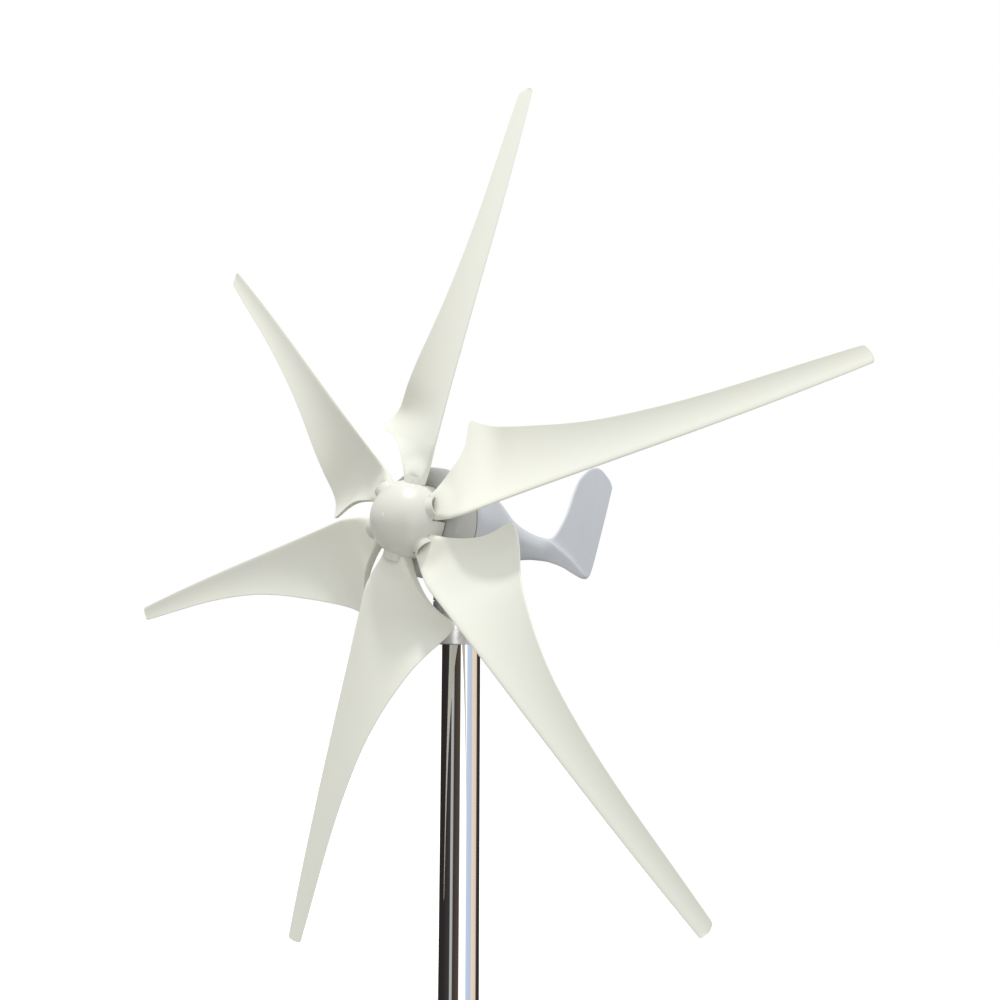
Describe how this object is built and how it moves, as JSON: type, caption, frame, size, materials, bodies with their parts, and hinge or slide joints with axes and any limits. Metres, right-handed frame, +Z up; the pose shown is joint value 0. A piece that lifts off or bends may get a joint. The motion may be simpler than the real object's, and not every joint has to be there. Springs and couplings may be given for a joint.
{
  "type": "small wind turbine",
  "caption": "Upwind micro wind turbine: swept moulded blades on a domed hub, a slim nacelle with a swept tail fin, and a yaw bearing on a polished steel mast.",
  "frame": {"origin": "centre of the mast's foot, at its lower end face", "axes": "+Z up along the mast, which is the yaw axis; the rotor's nose points to -Y and the tail fin to +Y; the rotor axis is parallel to Y at Z = 0.76 m"},
  "size_m": [1.2156, 0.7054, 1.3499],
  "materials": {
    "blade_nylon": "satin moulded, off-white",
    "spinner_white": "satin, near-white",
    "front_shell_white": "painted casting, satin warm light grey",
    "tail_shell_grey": "painted casting, satin cool light grey",
    "black_rubber": "matte",
    "cast_aluminium": "fine cast and machined",
    "polished_stainless": "mirror polished",
    "stainless_fasteners": "plain",
    "black_oxide_steel": "black oxide",
    "machined_steel": "turned",
    "lamination_steel": "stacked sheet, varnished",
    "nickel_magnet": "nickel plated",
    "enamelled_copper": "enamelled wire",
    "slip_ring_brass": "polished",
    "bearing_steel": "ground",
    "dark_insulator": "matte",
    "carbon_brush": "matte"
  },
  "bodies": {
    "mast": {"mast": "polished_stainless", "yaw_base": "cast_aluminium", "set_screws": "black_oxide_steel", "yaw_shaft": "machined_steel", "yaw_seal": "black_rubber", "yaw_bearing_inner_rings": "bearing_steel", "yaw_spacers": "machined_steel", "yaw_nut": "machined_steel", "slip_ring_sleeve": "dark_insulator", "slip_rings": "slip_ring_brass"},
    "nacelle": {"front_casing": "front_shell_white", "tail_casing": "tail_shell_grey", "casing_gasket": "black_rubber", "casing_screws": "stainless_fasteners", "generator_frame": "cast_aluminium", "stator_core": "lamination_steel", "stator_coils": "enamelled_copper", "shaft_bearing_outer_rings": "bearing_steel", "shaft_bearing_balls": "bearing_steel", "shaft_seal": "black_rubber", "yaw_bearing_outer_rings": "bearing_steel", "yaw_bearing_balls": "bearing_steel", "brush_block": "dark_insulator", "brushes": "carbon_brush"},
    "rotor": {"spinner": "spinner_white", "spinner_screws": "stainless_fasteners", "blade_1": "blade_nylon", "blade_2": "blade_nylon", "blade_3": "blade_nylon", "blade_4": "blade_nylon", "blade_5": "blade_nylon", "blade_6": "blade_nylon", "hub": "cast_aluminium", "clamp_plate": "cast_aluminium", "blade_bolts": "stainless_fasteners", "blade_nuts": "stainless_fasteners", "hub_washer": "stainless_fasteners", "hub_nut": "stainless_fasteners", "hub_spacer": "machined_steel", "generator_shaft": "machined_steel", "magnet_rotor_core": "lamination_steel", "magnets": "nickel_magnet", "shaft_bearing_inner_rings": "bearing_steel"}
  },
  "joints": [
    {"name": "yaw", "type": "hinge", "parent": "mast", "child": "nacelle", "pos_m": [0, 0, 0.65], "axis": [0, 0, 1], "continuous": true},
    {"name": "rotor_spin", "type": "hinge", "parent": "nacelle", "child": "rotor", "pos_m": [0, -0.126, 0.76], "axis": [0, 1, 0], "continuous": true}
  ]
}
